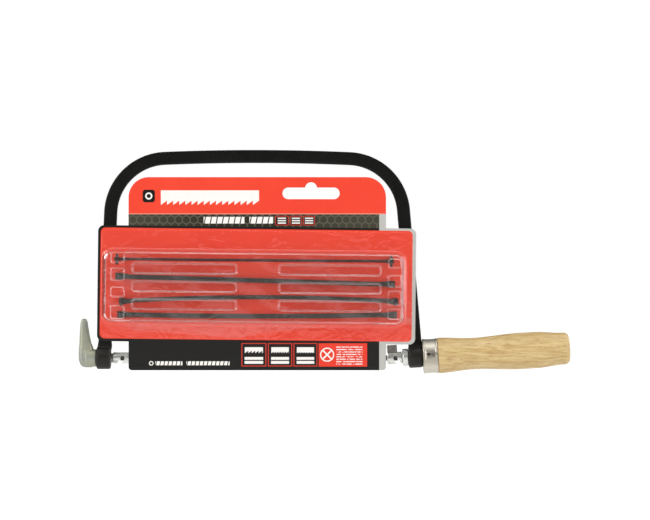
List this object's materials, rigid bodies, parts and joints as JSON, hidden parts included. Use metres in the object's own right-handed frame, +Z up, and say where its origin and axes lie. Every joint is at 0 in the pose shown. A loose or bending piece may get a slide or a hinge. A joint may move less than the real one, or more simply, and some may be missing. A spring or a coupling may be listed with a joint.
{
  "type": "coping saw",
  "caption": "Coping saw with a splayed flat-bar bow, turning blade holders and a wooden screw handle, fixed to a printed card with spare blades under a clear cover.",
  "frame": {"origin": "midway between the two pins of the fitted blade, on the blade's axis", "axes": "+X along the blade towards the handle, +Z up to the top of the bow, -Y towards the front of the card"},
  "size_m": [0.2979, 0.0277, 0.1357],
  "materials": {
    "bow_paint": "black paint, satin",
    "bright_steel": "zinc plated, bright",
    "zinc_cast": "cast, dull grey green",
    "dark_steel": "dark, satin",
    "blade_steel": "blued steel",
    "pin_steel": "dull steel",
    "insert_brass": "turned",
    "ferrule_steel": "bare, satin",
    "handle_wood": "pale, varnished",
    "printed_card": "gloss print, red and black",
    "clear_cover": "clear, thermoformed",
    "foam": "matt white foam"
  },
  "bodies": {
    "frame": {"bow_frame": "bow_paint", "front_bush": "bow_paint", "rear_bush": "bow_paint"},
    "front_holder": {"front_spigot": "bright_steel", "front_lever": "zinc_cast"},
    "fitted_blade": {"blade": "blade_steel", "blade_front_pin": "pin_steel", "blade_rear_pin": "pin_steel"},
    "collar": {"rear_collar": "bright_steel"},
    "rear_holder": {"rear_spigot": "bright_steel", "rear_tab": "dark_steel"},
    "handle": {"wood_handle": "handle_wood", "ferrule": "ferrule_steel", "handle_nut": "insert_brass"},
    "display_pack": {"backing_card": "printed_card", "blister_shell": "clear_cover", "mounting_pads": "foam", "spare_blade_1": "blade_steel", "spare_blade_2": "blade_steel", "spare_blade_3": "blade_steel", "spare_blade_4": "blade_steel", "spare_pins_1": "pin_steel", "spare_pins_2": "pin_steel", "spare_pins_3": "pin_steel", "spare_pins_4": "pin_steel"}
  },
  "joints": [
    {"name": "handle_turn", "type": "hinge", "parent": "frame", "child": "handle", "pos_m": [0.0825, 0, 0], "axis": [0.9984, 0, 0.0558], "range_deg": [0, 1260]},
    {"name": "blade_turn", "type": "hinge", "parent": "frame", "child": "front_holder", "pos_m": [-0.0825, 0, 0], "axis": [1, 0, 0], "continuous": true},
    {"name": "blade_unhook", "type": "hinge", "parent": "front_holder", "child": "fitted_blade", "pos_m": [-0.0825, 0, 0], "axis": [0, 1, 0], "range_deg": [0, 1.71]},
    {"name": "rear_turn", "type": "hinge", "parent": "frame", "child": "collar", "pos_m": [0.0825, 0, 0], "axis": [0.9984, 0, 0.0558], "continuous": true},
    {"name": "rear_slide", "type": "slide", "parent": "collar", "child": "rear_holder", "axis": [-0.9984, 0, -0.0558], "range_m": [0, 0.0035]},
    {"name": "card_lift", "type": "slide", "parent": "frame", "child": "display_pack", "axis": [0, 0, 1], "range_m": [0, 0.14]}
  ],
  "couplings": [
    {"joint": "rear_slide", "follows": "handle_turn", "m_per_rad": 0.00015915},
    {"joint": "blade_unhook", "follows": "handle_turn", "ratio": 0.0013546},
    {"joint": "rear_turn", "follows": "blade_turn", "ratio": 1}
  ]
}
